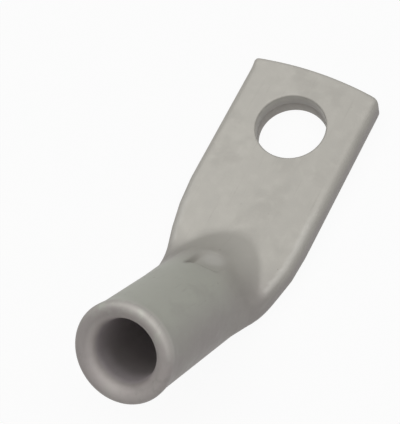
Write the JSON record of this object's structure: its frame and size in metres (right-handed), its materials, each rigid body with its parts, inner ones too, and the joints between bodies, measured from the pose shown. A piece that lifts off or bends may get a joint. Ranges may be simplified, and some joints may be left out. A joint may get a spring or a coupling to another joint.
{
  "type": "cable lug",
  "caption": "Tubular cable lug: a flat palm with a stud hole runs through a rounded neck into a round barrel, bent up at 45 degrees and flared at its mouth.",
  "frame": {"origin": "centre of the stud hole on the palm's back face, the face that seats on the terminal", "axes": "+Z out of the palm's front face along the stud, +Y from the neck to the tip, +X across the palm; the barrel rises towards -Y and +Z"},
  "size_m": [0.0128, 0.0379, 0.0155],
  "materials": {
    "tinned_copper": null
  },
  "bodies": {
    "root": {"cable_lug": "tinned_copper"}
  },
  "joints": []
}
